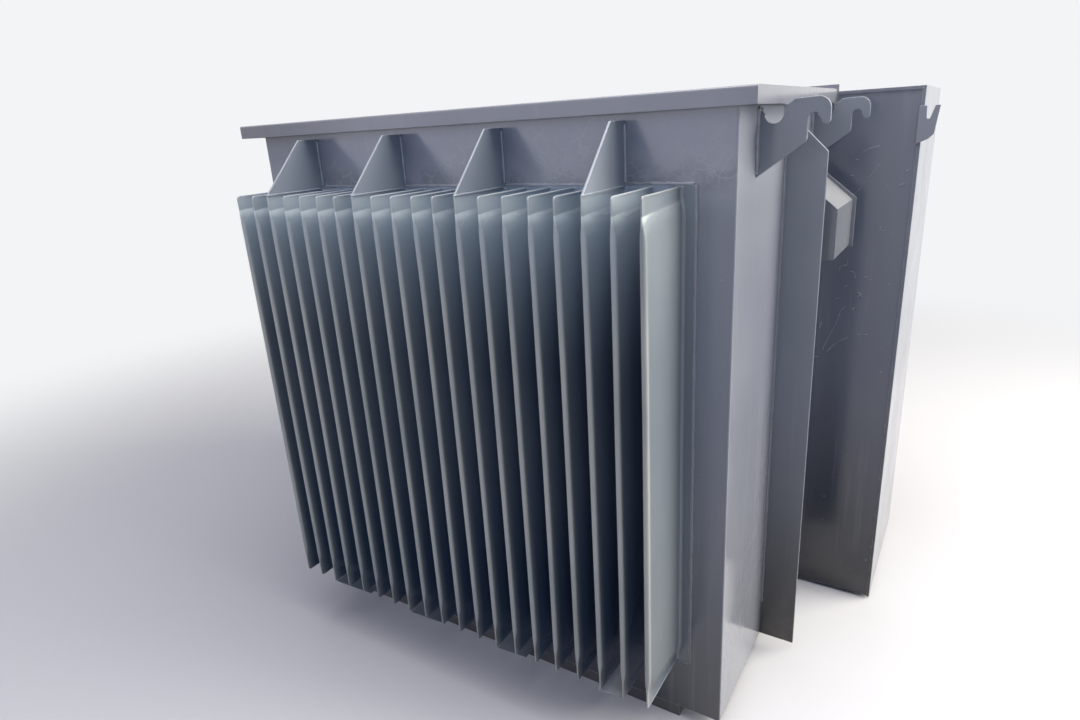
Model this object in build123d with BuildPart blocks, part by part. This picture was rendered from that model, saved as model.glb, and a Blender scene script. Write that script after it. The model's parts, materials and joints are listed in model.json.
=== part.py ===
from build123d import *
import math
import os

os.makedirs("parts", exist_ok=True)

# A pad-standing oil transformer: a tank with a wall of pressed cooling fins, and a cable cabinet behind it.
# X runs along the finned wall to the right, Y runs from the fins to the cabinet, Z is up from the ground.
# The origin is on the ground, under the middle of the whole transformer.

# Tank and base
TANK_LENGTH = 1342.0
TANK_DEPTH = 704.0
TANK_CORNER_R = 4.0
BASE_HEIGHT = 33.0
RAIL_WIDTH = 60.0
RAIL_SETBACK = 104.0
LID_TOP = 1501.0
LID_SHEET = 6.0
LID_LIP_HEIGHT = 33.0
LID_LIP_THICKNESS = 5.0
LID_OVERHANG = 42.5
SEAM_RISE = 11.0
SEAM_END = 3.0
SEAM_THICKNESS = 5.0

# Cooling fins, pressed from one sheet and pinched flat at both ends
FIN_COUNT = 20
FIN_PITCH = 60.0
FIN_DEPTH = 182.0
FIN_THICKNESS = 14.0
FIN_ROOT_BEND = 4.0
FIN_SEAM_THICKNESS = 4.0
FIN_SEAM_AT_ROOT = 23.0
FIN_SEAM_AT_NOSE = 34.0
FIN_SHOULDER_THICKNESS = 10.0
FIN_SHOULDER_HEIGHT = 5.0
FIN_SWELL_HEIGHT = 24.0
FIN_BOTTOM = 182.0
FIN_TOP_DROP = 174.0
PANEL_SHEET = 3.0
PANEL_SIDE_MARGIN = 32.0
PANEL_TOP_MARGIN = 3.0
PANEL_BOTTOM_MARGIN = 3.0
PANEL_SHIFT = -12.0

# Gusset plates above and below every fifth fin
GUSSET_FINS = [3, 8, 13, 18]
GUSSET_THICKNESS = 5.0
GUSSET_DROP = 46.0
GUSSET_BOTTOM = 52.0
GUSSET_LAND = 61.0

# Lifting lugs on the tank ends
LUG_THICKNESS = 10.0
LUG_REACH = 134.0
LUG_NEAR_Y = 127.0
LUG_FAR_Y = 628.0
LUG_FOOT_DROP = 171.0
LUG_TOP_DROP = 22.0
LUG_SHOULDER_DROP = 34.0
LUG_SHOULDER_LENGTH = 8.0
LUG_BROW_DROP = 25.0
LUG_BROW_LENGTH = 20.0
LUG_SLOT_RADIUS = 18.0
LUG_SLOT_CENTRE = 31.0
LUG_SLOT_DROP = 69.0
LUG_THROAT = 22.0
LUG_THROAT_DROP = 52.0
LUG_TIP_DROP = 74.0
LUG_TIP_WIDTH = 16.0
LUG_HOOK_WIDTH = 18.5
LUG_KNEE_DROP = 103.0
LUG_KNEE_R = 9.0
LUG_CROWN_R = 24.0

# Tall plates on the tank ends
SIDE_PLATE_Y = 364.0
SIDE_PLATE_WIDTH = 92.0
SIDE_PLATE_THICKNESS = 8.0
SIDE_PLATE_DROP = 88.0
SIDE_PLATE_CHAMFER = 48.0

# Wiring hood on the right tank end, between the tall plate and the cabinet
HOOD_PLATE_GAP = 47.0
HOOD_REAR_GAP = 83.0
HOOD_WIDTH = 112.0
HOOD_HEIGHT = 215.0
HOOD_RISE = 96.0
HOOD_LUG_CLEARANCE = 2.0
HOOD_EDGE_R = 4.0
HOOD_FLANGE = 9.0
HOOD_FLANGE_THICKNESS = 3.0

# Cable cabinet
CABINET_WIDTH = 1832.0
CABINET_DEPTH = 510.0
CABINET_TOP_DROP = 6.0
CABINET_SHEET = 3.0
CABINET_RIM = 8.0
CABINET_RIM_CLEARANCE = 2.0
CABINET_LIFT = 10.0
SILL_HEIGHT = 60.0
SILL_WIDTH = 50.0
SILL_SETBACK = 14.0
POST_WIDTH = 40.0
POST_RETURN = 20.0
DOOR_SHEET = 3.0
DOOR_RETURN = 25.0
DOOR_GAP = 4.0
DOOR_BOTTOM = 20.0
HINGE_COUNT = 3
HINGE_R = 8.0
HINGE_LENGTH = 90.0
HINGE_LEAF = 30.0
HINGE_LEAF_THICKNESS = 3.0
HINGE_END_DISTANCE = 200.0
HANDLE_PLATE_WIDTH = 40.0
HANDLE_PLATE_HEIGHT = 180.0
HANDLE_PLATE_THICKNESS = 4.0
HANDLE_PLATE_CORNER_R = 8.0
HANDLE_BAR = 8.0
HANDLE_BAR_WIDTH = 18.0
HANDLE_BEND_R = 14.0
HANDLE_GRIP_LENGTH = 130.0
HANDLE_STAND_OFF = 34.0
HANDLE_HEIGHT = 800.0

# Hooks at the cabinet's top corners
HOOK_THICKNESS = 6.0
HOOK_REACH = 35.0
HOOK_LAP = 11.0
HOOK_DROP = 47.0
HOOK_HEIGHT = 90.0
HOOK_TAPER = 8.0
HOOK_CORNER = 11.5
HOOK_TAB = 11.0
HOOK_NOTCH_LEFT = 6.0
HOOK_NOTCH_CENTRE = 11.0
HOOK_NOTCH_R = 3.5
HOOK_NOTCH_DEPTH = 31.0

# Places worked out from the sizes
HANDLE_DEPTH = HANDLE_PLATE_THICKNESS + HANDLE_STAND_OFF + HANDLE_BAR
BACK_Y = (PANEL_SHEET + FIN_DEPTH + TANK_DEPTH - CABINET_DEPTH - HANDLE_DEPTH) / 2
FRONT_Y = BACK_Y - TANK_DEPTH
TANK_MID_Y = (FRONT_Y + BACK_Y) / 2
TANK_HALF = TANK_LENGTH / 2
TANK_TOP = LID_TOP - LID_SHEET
LID_BOTTOM = LID_TOP - LID_LIP_HEIGHT
FIN_TOP = LID_TOP - FIN_TOP_DROP
PANEL_FACE_Y = FRONT_Y - PANEL_SHEET
FIRST_FIN_X = PANEL_SHIFT - FIN_PITCH * (FIN_COUNT - 1) / 2
GUSSET_TOP = LID_TOP - GUSSET_DROP
SIDE_PLATE_TOP = LID_TOP - SIDE_PLATE_DROP
HOOD_TOP = LID_TOP - LUG_FOOT_DROP - HOOD_LUG_CLEARANCE
HOOD_BOTTOM = HOOD_TOP - HOOD_HEIGHT
HOOD_FRONT_Y = FRONT_Y + SIDE_PLATE_Y + SIDE_PLATE_THICKNESS / 2 + HOOD_PLATE_GAP
HOOD_REAR_Y = BACK_Y - HOOD_REAR_GAP
CABINET_TOP = LID_TOP - CABINET_TOP_DROP
CABINET_HALF = CABINET_WIDTH / 2
CABINET_INSIDE = CABINET_HALF - CABINET_SHEET
CABINET_END_Y = BACK_Y + CABINET_DEPTH
HOOK_TOP = CABINET_TOP - HOOK_DROP


def fin_x(number):
    """Middle of a fin along the wall, counted from 1 at the left."""
    return FIRST_FIN_X + FIN_PITCH * (number - 1)


# Tank, a closed welded box with bent upright corners
with BuildPart() as tank:
    with BuildSketch(Plane.XY.offset(BASE_HEIGHT)):
        with Locations((0, TANK_MID_Y)):
            Rectangle(TANK_LENGTH, TANK_DEPTH)
    extrude(amount=TANK_TOP - BASE_HEIGHT)
    fillet(tank.edges().filter_by(Axis.Z), radius=TANK_CORNER_R)
tank.part.label = "tank"
export_step(tank.part, "parts/tank.step")


def fin_outline(thickness, depth):
    """Plan outline of a fin at the origin: bent out to the sheet at its root, flat sides, round nose."""
    radius = thickness / 2
    bend = radius + FIN_ROOT_BEND
    with BuildSketch(mode=Mode.PRIVATE) as outline:
        with BuildLine():
            left_nose = (-radius, radius - depth)
            right_nose = (radius, radius - depth)
            Polyline((-bend, 0), (-radius, -FIN_ROOT_BEND), left_nose)
            ThreePointArc(left_nose, (0, -depth), right_nose)
            Polyline(right_nose, (radius, -FIN_ROOT_BEND), (bend, 0), (-bend, 0))
        make_face()
    return outline.sketch


# The crease under the flat seam slopes, so the seam is wider at the nose than at the root
CREASE_SLOPE = (FIN_SEAM_AT_NOSE - FIN_SEAM_AT_ROOT) / FIN_DEPTH
FIN_END_STEPS = [
    (FIN_SEAM_AT_ROOT, FIN_SEAM_THICKNESS),
    (FIN_SEAM_AT_ROOT + FIN_SHOULDER_HEIGHT, FIN_SHOULDER_THICKNESS),
    (FIN_SEAM_AT_ROOT + FIN_SWELL_HEIGHT, FIN_THICKNESS),
]
fin_levels = [(FIN_BOTTOM, 0, FIN_SEAM_THICKNESS)]
fin_levels += [(FIN_BOTTOM + rise, -CREASE_SLOPE, thickness) for rise, thickness in FIN_END_STEPS]
fin_levels += [(FIN_TOP - fall, CREASE_SLOPE, thickness) for fall, thickness in reversed(FIN_END_STEPS)]
fin_levels += [(FIN_TOP, 0, FIN_SEAM_THICKNESS)]

# One fin: flat welded seams at both ends, swelling past a sloping crease to the full hollow section
with BuildPart() as fin:
    for level, slope, thickness in fin_levels:
        stretch = math.hypot(1, slope)
        with BuildSketch(Plane(origin=(0, 0, level), x_dir=(1, 0, 0), z_dir=(0, -slope, 1))):
            add(fin_outline(thickness, FIN_DEPTH * stretch))
    loft(ruled=True)

# Fin panel: the backing sheet with the row of fins pressed out of it
with BuildPart() as front_fin_panel:
    with BuildSketch(Plane.XZ.offset(-FRONT_Y)):
        with Locations((PANEL_SHIFT, (FIN_TOP + PANEL_TOP_MARGIN + FIN_BOTTOM - PANEL_BOTTOM_MARGIN) / 2)):
            Rectangle(
                FIN_PITCH * (FIN_COUNT - 1) + 2 * PANEL_SIDE_MARGIN,
                FIN_TOP + PANEL_TOP_MARGIN - FIN_BOTTOM + PANEL_BOTTOM_MARGIN,
            )
    extrude(amount=PANEL_SHEET)
    with Locations(*[(fin_x(number), PANEL_FACE_Y, 0) for number in range(1, FIN_COUNT + 1)]):
        add(fin.part)
front_fin_panel.part.label = "front_fin_panel"
export_step(front_fin_panel.part, "parts/front_fin_panel.step")

# Gusset plates, cut at 45 degrees from the fin's outer corner to a short land at the wall
for order, fin_number in enumerate(GUSSET_FINS, start=1):
    plate_x = fin_x(fin_number)
    with BuildPart() as top_gusset:
        with BuildSketch(Plane.YZ.offset(plate_x - GUSSET_THICKNESS / 2)):
            with BuildLine():
                Polyline(
                    (FRONT_Y, GUSSET_TOP),
                    (FRONT_Y - GUSSET_LAND, GUSSET_TOP),
                    (PANEL_FACE_Y - FIN_DEPTH, FIN_TOP),
                    (PANEL_FACE_Y, FIN_TOP),
                    (PANEL_FACE_Y, FIN_TOP + PANEL_TOP_MARGIN),
                    (FRONT_Y, FIN_TOP + PANEL_TOP_MARGIN),
                    close=True,
                )
            make_face()
        extrude(amount=GUSSET_THICKNESS)
    top_gusset.part.label = f"top_gusset_{order}"
    export_step(top_gusset.part, f"parts/top_gusset_{order}.step")

    with BuildPart() as bottom_gusset:
        with BuildSketch(Plane.YZ.offset(plate_x - GUSSET_THICKNESS / 2)):
            with BuildLine():
                Polyline(
                    (FRONT_Y, GUSSET_BOTTOM),
                    (FRONT_Y - GUSSET_LAND, GUSSET_BOTTOM),
                    (PANEL_FACE_Y - FIN_DEPTH, FIN_BOTTOM),
                    (PANEL_FACE_Y, FIN_BOTTOM),
                    (PANEL_FACE_Y, FIN_BOTTOM - PANEL_BOTTOM_MARGIN),
                    (FRONT_Y, FIN_BOTTOM - PANEL_BOTTOM_MARGIN),
                    close=True,
                )
            make_face()
        extrude(amount=GUSSET_THICKNESS)
    bottom_gusset.part.label = f"bottom_gusset_{order}"
    export_step(bottom_gusset.part, f"parts/bottom_gusset_{order}.step")

# Lid: a flat pan turned down on three sides, its rear edge against the seam flange
LID_LENGTH = TANK_LENGTH + 2 * LID_OVERHANG
LID_DEPTH = TANK_DEPTH + LID_OVERHANG - SEAM_THICKNESS
LID_REAR_Y = BACK_Y - SEAM_THICKNESS
with BuildPart() as tank_lid:
    with BuildSketch(Plane.XY.offset(LID_BOTTOM)):
        with Locations((0, LID_REAR_Y - LID_DEPTH / 2)):
            Rectangle(LID_LENGTH, LID_DEPTH)
    extrude(amount=LID_LIP_HEIGHT)
    with BuildSketch(Plane.XY.offset(LID_BOTTOM)):
        with Locations((0, LID_REAR_Y - (LID_DEPTH - LID_LIP_THICKNESS) / 2)):
            Rectangle(LID_LENGTH - 2 * LID_LIP_THICKNESS, LID_DEPTH - LID_LIP_THICKNESS)
    extrude(amount=LID_LIP_HEIGHT - LID_SHEET, mode=Mode.SUBTRACT)
    fillet(tank_lid.edges().group_by(Axis.Z)[-1].group_by(Axis.Y)[0], radius=LID_LIP_THICKNESS)
tank_lid.part.label = "tank_lid"
export_step(tank_lid.part, "parts/tank_lid.step")

# Upturned flange behind the lid, over the seam to the cabinet, with its ends turned down past the lid
SEAM_HALF = LID_LENGTH / 2 + SEAM_END
with BuildPart() as lid_seam_flange:
    with BuildSketch(Plane.XZ.offset(-BACK_Y)):
        with BuildLine():
            Polyline(
                (-TANK_HALF, TANK_TOP),
                (-TANK_HALF, LID_BOTTOM),
                (-SEAM_HALF, LID_BOTTOM),
                (-SEAM_HALF, LID_TOP + SEAM_RISE),
                (SEAM_HALF, LID_TOP + SEAM_RISE),
                (SEAM_HALF, LID_BOTTOM),
                (TANK_HALF, LID_BOTTOM),
                (TANK_HALF, TANK_TOP),
                close=True,
            )
        make_face()
    extrude(amount=SEAM_THICKNESS)
lid_seam_flange.part.label = "lid_seam_flange"
export_step(lid_seam_flange.part, "parts/lid_seam_flange.step")


def lug_outline(side):
    """Face of a lifting lug on the tank end: slot round the lid's lip, hook open downwards."""
    throat_outer = LUG_REACH - LUG_HOOK_WIDTH
    throat_inner = throat_outer - LUG_THROAT
    throat_spring = LUG_THROAT_DROP + LUG_THROAT / 2
    slot_left = LUG_SLOT_CENTRE - LUG_SLOT_RADIUS
    slot_right = LUG_SLOT_CENTRE + LUG_SLOT_RADIUS
    slot_spring = LUG_SLOT_DROP - LUG_SLOT_RADIUS
    tip_inner = LUG_REACH - LUG_TIP_WIDTH
    tip_spring = LUG_TIP_DROP - LUG_TIP_WIDTH / 2
    crown_spring = LUG_TOP_DROP + LUG_CROWN_R
    crown_diagonal = LUG_CROWN_R * (1 - math.cos(math.radians(45)))

    def at(out, drop):
        return (side * (TANK_HALF + out), LID_TOP - drop)

    with BuildSketch(mode=Mode.PRIVATE) as outline:
        with BuildLine():
            FilletPolyline(
                at(throat_inner, throat_spring),
                at(throat_inner, LUG_KNEE_DROP),
                at(0, LUG_FOOT_DROP),
                radius=LUG_KNEE_R,
            )
            Polyline(
                at(0, LUG_FOOT_DROP),
                at(0, LUG_SHOULDER_DROP),
                at(slot_left, slot_spring),
            )
            ThreePointArc(
                at(slot_left, slot_spring), at(LUG_SLOT_CENTRE, LUG_SLOT_DROP), at(slot_right, slot_spring)
            )
            Polyline(
                at(slot_right, slot_spring),
                at(slot_right, LUG_SHOULDER_DROP),
                at(slot_right + LUG_SHOULDER_LENGTH, LUG_SHOULDER_DROP),
                at(slot_right + LUG_BROW_LENGTH, LUG_BROW_DROP),
                at(LUG_REACH - LUG_CROWN_R, LUG_TOP_DROP),
            )
            ThreePointArc(
                at(LUG_REACH - LUG_CROWN_R, LUG_TOP_DROP),
                at(LUG_REACH - crown_diagonal, LUG_TOP_DROP + crown_diagonal),
                at(LUG_REACH, crown_spring),
            )
            Line(at(LUG_REACH, crown_spring), at(LUG_REACH, tip_spring))
            ThreePointArc(
                at(LUG_REACH, tip_spring), at(LUG_REACH - LUG_TIP_WIDTH / 2, LUG_TIP_DROP), at(tip_inner, tip_spring)
            )
            Line(at(tip_inner, tip_spring), at(throat_outer, throat_spring))
            ThreePointArc(
                at(throat_outer, throat_spring),
                at(throat_outer - LUG_THROAT / 2, LUG_THROAT_DROP),
                at(throat_inner, throat_spring),
            )
        make_face()
    return outline.sketch


# Lifting lugs, two on each tank end
lug_places = {"near": FRONT_Y + LUG_NEAR_Y, "far": FRONT_Y + LUG_FAR_Y}
for side_name, side in (("right", 1), ("left", -1)):
    for place_name, lug_y in lug_places.items():
        with BuildPart() as lifting_lug:
            with BuildSketch(Plane.XZ.offset(-lug_y - LUG_THICKNESS / 2)):
                add(lug_outline(side))
            extrude(amount=LUG_THICKNESS)
        name = f"{side_name}_{place_name}_lifting_lug"
        lifting_lug.part.label = name
        export_step(lifting_lug.part, f"parts/{name}.step")

# Tall plates on the tank ends, with the top outer corner cut off at 45 degrees
for side_name, side in (("right", 1), ("left", -1)):
    with BuildPart() as side_plate:
        with BuildSketch(Plane.XZ.offset(-FRONT_Y - SIDE_PLATE_Y - SIDE_PLATE_THICKNESS / 2)):
            with BuildLine():
                Polyline(
                    (side * TANK_HALF, BASE_HEIGHT),
                    (side * (TANK_HALF + SIDE_PLATE_WIDTH), BASE_HEIGHT),
                    (side * (TANK_HALF + SIDE_PLATE_WIDTH), SIDE_PLATE_TOP - SIDE_PLATE_CHAMFER),
                    (side * (TANK_HALF + SIDE_PLATE_WIDTH - SIDE_PLATE_CHAMFER), SIDE_PLATE_TOP),
                    (side * TANK_HALF, SIDE_PLATE_TOP),
                    close=True,
                )
            make_face()
        extrude(amount=SIDE_PLATE_THICKNESS)
    name = f"{side_name}_side_plate"
    side_plate.part.label = name
    export_step(side_plate.part, f"parts/{name}.step")

# Wiring hood: upright outer face, roof sloping up to the tank end, and a plate round its rear edge
with BuildPart() as wiring_hood:
    with BuildSketch(Plane.XZ.offset(-HOOD_REAR_Y)):
        with BuildLine():
            Polyline(
                (TANK_HALF, HOOD_BOTTOM),
                (TANK_HALF + HOOD_WIDTH, HOOD_BOTTOM),
                (TANK_HALF + HOOD_WIDTH, HOOD_TOP - HOOD_RISE),
                (TANK_HALF, HOOD_TOP),
                close=True,
            )
        make_face()
    extrude(amount=HOOD_REAR_Y - HOOD_FRONT_Y)
    fillet(wiring_hood.edges().filter_by(Axis.Y).group_by(Axis.X)[-1], radius=HOOD_EDGE_R)
    with BuildSketch(Plane.XZ.offset(-HOOD_REAR_Y)):
        with BuildLine():
            Polyline(
                (TANK_HALF, HOOD_BOTTOM),
                (TANK_HALF + HOOD_WIDTH + HOOD_FLANGE, HOOD_BOTTOM),
                (TANK_HALF + HOOD_WIDTH + HOOD_FLANGE, HOOD_TOP - HOOD_RISE + HOOD_FLANGE / 2),
                (TANK_HALF, HOOD_TOP + HOOD_FLANGE),
                close=True,
            )
        make_face()
    extrude(amount=HOOD_FLANGE_THICKNESS)
wiring_hood.part.label = "wiring_hood"
export_step(wiring_hood.part, "parts/wiring_hood.step")

# Base rails under the long walls, set back from the tank corners
RAIL_LENGTH = TANK_LENGTH - 2 * RAIL_SETBACK
for rail_name, rail_y in (("front", FRONT_Y + RAIL_WIDTH / 2), ("rear", BACK_Y - RAIL_WIDTH / 2)):
    with BuildPart() as base_rail:
        with BuildSketch():
            with Locations((0, rail_y)):
                Rectangle(RAIL_LENGTH, RAIL_WIDTH)
        extrude(amount=BASE_HEIGHT)
    base_rail.part.label = f"{rail_name}_base_rail"
    export_step(base_rail.part, f"parts/{rail_name}_base_rail.step")

# Cabinet sheet facing the fins, standing out past both tank ends and held just clear of the ground
with BuildPart() as cabinet_back_sheet:
    with BuildSketch(Plane.XY.offset(CABINET_LIFT)):
        with Locations((0, BACK_Y + CABINET_SHEET / 2)):
            Rectangle(2 * CABINET_INSIDE, CABINET_SHEET)
    extrude(amount=CABINET_TOP - CABINET_SHEET - CABINET_LIFT)
cabinet_back_sheet.part.label = "cabinet_back_sheet"
export_step(cabinet_back_sheet.part, "parts/cabinet_back_sheet.step")

# Cabinet sides: a narrow rim folded over the back sheet, and a channel post beside the door
for side_name, side in (("right", 1), ("left", -1)):
    with BuildPart() as cabinet_side:
        with BuildSketch(Plane.XY.offset(CABINET_LIFT)):
            with BuildLine():
                Polyline(
                    (side * (CABINET_HALF - CABINET_RIM), BACK_Y),
                    (side * (CABINET_HALF - CABINET_RIM), BACK_Y - CABINET_SHEET),
                    (side * CABINET_HALF, BACK_Y - CABINET_SHEET),
                    (side * CABINET_HALF, CABINET_END_Y),
                    (side * CABINET_INSIDE, CABINET_END_Y),
                    (side * CABINET_INSIDE, BACK_Y),
                    close=True,
                )
            make_face()
        extrude(amount=CABINET_TOP - CABINET_LIFT)
        with BuildSketch(Plane.XY.offset(CABINET_LIFT)):
            with BuildLine():
                Polyline(
                    (side * CABINET_INSIDE, CABINET_END_Y),
                    (side * (CABINET_HALF - POST_WIDTH), CABINET_END_Y),
                    (side * (CABINET_HALF - POST_WIDTH), CABINET_END_Y - POST_RETURN),
                    (side * (CABINET_HALF - POST_WIDTH + CABINET_SHEET), CABINET_END_Y - POST_RETURN),
                    (side * (CABINET_HALF - POST_WIDTH + CABINET_SHEET), CABINET_END_Y - CABINET_SHEET),
                    (side * CABINET_INSIDE, CABINET_END_Y - CABINET_SHEET),
                    close=True,
                )
            make_face()
        extrude(amount=CABINET_TOP - CABINET_SHEET - CABINET_LIFT)
    cabinet_side.part.label = f"cabinet_{side_name}_side"
    export_step(cabinet_side.part, f"parts/cabinet_{side_name}_side.step")

# Cabinet roof between the sides, its front edge folded down over the back sheet on both sides of the lid
ROOF_RIM_START = SEAM_HALF + CABINET_RIM_CLEARANCE
ROOF_RIM_END = CABINET_HALF - CABINET_RIM
with BuildPart() as cabinet_roof:
    with BuildSketch(Plane.XY.offset(CABINET_TOP)):
        with Locations((0, (BACK_Y + CABINET_END_Y) / 2)):
            Rectangle(2 * CABINET_INSIDE, CABINET_DEPTH)
    extrude(amount=-CABINET_SHEET)
    with BuildSketch(Plane.XY.offset(CABINET_TOP)):
        for side in (1, -1):
            with Locations((side * (ROOF_RIM_START + ROOF_RIM_END) / 2, BACK_Y - CABINET_SHEET / 2)):
                Rectangle(ROOF_RIM_END - ROOF_RIM_START, CABINET_SHEET)
    extrude(amount=-CABINET_RIM)
cabinet_roof.part.label = "cabinet_roof"
export_step(cabinet_roof.part, "parts/cabinet_roof.step")

# Sill frame round the cabinet's open foot, its lower part set back and standing on the ground
DOOR_FACE_Y = CABINET_END_Y - DOOR_RETURN
SILL_FRONT_Y = BACK_Y + CABINET_SHEET
SILL_MID_Y = (SILL_FRONT_Y + DOOR_FACE_Y) / 2
SILL_DEPTH = DOOR_FACE_Y - SILL_FRONT_Y
with BuildPart() as cabinet_sill:
    with BuildSketch(Plane.XY.offset(CABINET_LIFT)):
        with Locations((0, SILL_MID_Y)):
            Rectangle(2 * CABINET_INSIDE, SILL_DEPTH)
            Rectangle(2 * (CABINET_INSIDE - SILL_WIDTH), SILL_DEPTH - 2 * SILL_WIDTH, mode=Mode.SUBTRACT)
    extrude(amount=SILL_HEIGHT - CABINET_LIFT)
    with BuildSketch():
        with Locations((0, SILL_MID_Y)):
            Rectangle(2 * (CABINET_INSIDE - SILL_SETBACK), SILL_DEPTH - 2 * SILL_SETBACK)
            Rectangle(2 * (CABINET_INSIDE - SILL_WIDTH), SILL_DEPTH - 2 * SILL_WIDTH, mode=Mode.SUBTRACT)
    extrude(amount=CABINET_LIFT)
cabinet_sill.part.label = "cabinet_sill"
export_step(cabinet_sill.part, "parts/cabinet_sill.step")

# Closed double doors on the far side, flush between the posts: a sheet with returned edges
DOOR_EDGE_X = CABINET_HALF - POST_WIDTH - DOOR_GAP
DOOR_LEAF = DOOR_EDGE_X - DOOR_GAP / 2
DOOR_TOP = CABINET_TOP - CABINET_SHEET - DOOR_GAP
DOOR_MIDDLE = (DOOR_LEAF + DOOR_GAP) / 2
for side_name, side in (("right", 1), ("left", -1)):
    with BuildPart() as door:
        with BuildSketch(Plane.XY.offset(DOOR_BOTTOM)):
            with Locations((side * DOOR_MIDDLE, DOOR_FACE_Y + DOOR_RETURN / 2)):
                Rectangle(DOOR_LEAF, DOOR_RETURN)
        extrude(amount=DOOR_TOP - DOOR_BOTTOM)
        with BuildSketch(Plane.XY.offset(DOOR_BOTTOM + DOOR_SHEET)):
            with Locations((side * DOOR_MIDDLE, DOOR_FACE_Y + (DOOR_RETURN - DOOR_SHEET) / 2)):
                Rectangle(DOOR_LEAF - 2 * DOOR_SHEET, DOOR_RETURN - DOOR_SHEET)
        extrude(amount=DOOR_TOP - DOOR_BOTTOM - 2 * DOOR_SHEET, mode=Mode.SUBTRACT)
    door.part.label = f"{side_name}_door"
    export_step(door.part, f"parts/{side_name}_door.step")

# Hinges across the gap between post and door, a barrel between two leaves
HINGE_FIRST = DOOR_BOTTOM + HINGE_END_DISTANCE
HINGE_SPACING = (DOOR_TOP - HINGE_END_DISTANCE - HINGE_LENGTH - HINGE_FIRST) / (HINGE_COUNT - 1)
HINGE_X = DOOR_EDGE_X + DOOR_GAP / 2
for side_name, side in (("right", 1), ("left", -1)):
    with BuildPart() as hinges:
        for order in range(HINGE_COUNT):
            with BuildSketch(Plane.XY.offset(HINGE_FIRST + HINGE_SPACING * order)):
                with Locations((side * HINGE_X, CABINET_END_Y + HINGE_R)):
                    Circle(HINGE_R)
                with Locations((side * HINGE_X, CABINET_END_Y + HINGE_LEAF_THICKNESS / 2)):
                    Rectangle(2 * HINGE_LEAF, HINGE_LEAF_THICKNESS)
            extrude(amount=HINGE_LENGTH)
    hinges.part.label = f"{side_name}_hinges"
    export_step(hinges.part, f"parts/{side_name}_hinges.step")

# Door handle: a flat bar bent twice, standing off its plate on the right door
HANDLE_X = DOOR_GAP / 2 + HANDLE_PLATE_WIDTH
HANDLE_FACE_Y = CABINET_END_Y + HANDLE_PLATE_THICKNESS
HANDLE_BAR_Y = HANDLE_FACE_Y + HANDLE_STAND_OFF + HANDLE_BAR / 2
with BuildPart() as door_handle:
    with BuildSketch(Plane.XZ.offset(-HANDLE_FACE_Y)):
        with Locations((HANDLE_X, HANDLE_HEIGHT)):
            RectangleRounded(HANDLE_PLATE_WIDTH, HANDLE_PLATE_HEIGHT, HANDLE_PLATE_CORNER_R)
    extrude(amount=HANDLE_PLATE_THICKNESS)
    with BuildSketch(Plane.YZ.offset(HANDLE_X)):
        with BuildLine():
            FilletPolyline(
                (HANDLE_FACE_Y, HANDLE_HEIGHT - HANDLE_GRIP_LENGTH / 2),
                (HANDLE_BAR_Y, HANDLE_HEIGHT - HANDLE_GRIP_LENGTH / 2),
                (HANDLE_BAR_Y, HANDLE_HEIGHT + HANDLE_GRIP_LENGTH / 2),
                (HANDLE_FACE_Y, HANDLE_HEIGHT + HANDLE_GRIP_LENGTH / 2),
                radius=HANDLE_BEND_R,
            )
        trace(line_width=HANDLE_BAR)
    extrude(amount=HANDLE_BAR_WIDTH / 2, both=True)
door_handle.part.label = "door_handle"
export_step(door_handle.part, "parts/door_handle.step")


def hook_outline(side):
    """Face of a cabinet hook: a plate past the cabinet's edge with a V notch, round at its foot, in its top."""
    notch_foot = HOOK_TOP - HOOK_NOTCH_DEPTH

    def at(out, height):
        return (side * (CABINET_HALF + out), height)

    with BuildSketch(mode=Mode.PRIVATE) as outline:
        with BuildLine():
            Polyline(
                at(HOOK_NOTCH_CENTRE - HOOK_NOTCH_R, notch_foot + HOOK_NOTCH_R),
                at(HOOK_NOTCH_LEFT, HOOK_TOP),
                at(-HOOK_LAP, HOOK_TOP),
                at(-HOOK_LAP, HOOK_TOP - HOOK_HEIGHT),
                at(HOOK_REACH - HOOK_TAPER - HOOK_CORNER, HOOK_TOP - HOOK_HEIGHT + HOOK_CORNER),
                at(HOOK_REACH - HOOK_TAPER, HOOK_TOP - HOOK_HEIGHT + 2 * HOOK_CORNER),
                at(HOOK_REACH, HOOK_TOP),
                at(HOOK_REACH - HOOK_TAB, HOOK_TOP),
                at(HOOK_NOTCH_CENTRE + HOOK_NOTCH_R, notch_foot + HOOK_NOTCH_R),
            )
            ThreePointArc(
                at(HOOK_NOTCH_CENTRE + HOOK_NOTCH_R, notch_foot + HOOK_NOTCH_R),
                at(HOOK_NOTCH_CENTRE, notch_foot),
                at(HOOK_NOTCH_CENTRE - HOOK_NOTCH_R, notch_foot + HOOK_NOTCH_R),
            )
        make_face()
    return outline.sketch


# Hooks welded on the rim at the cabinet's top corners
for side_name, side in (("right", 1), ("left", -1)):
    with BuildPart() as cabinet_hook:
        with BuildSketch(Plane.XZ.offset(CABINET_SHEET - BACK_Y)):
            add(hook_outline(side))
        extrude(amount=HOOK_THICKNESS)
    cabinet_hook.part.label = f"{side_name}_cabinet_hook"
    export_step(cabinet_hook.part, f"parts/{side_name}_cabinet_hook.step")
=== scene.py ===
"""Looks of a pad-standing oil transformer: glossy dark enamel, pressed fins, weld beads, dust and cobwebs."""
import json
import math

import bpy
import numpy as np
from mathutils import Matrix, Vector


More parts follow.
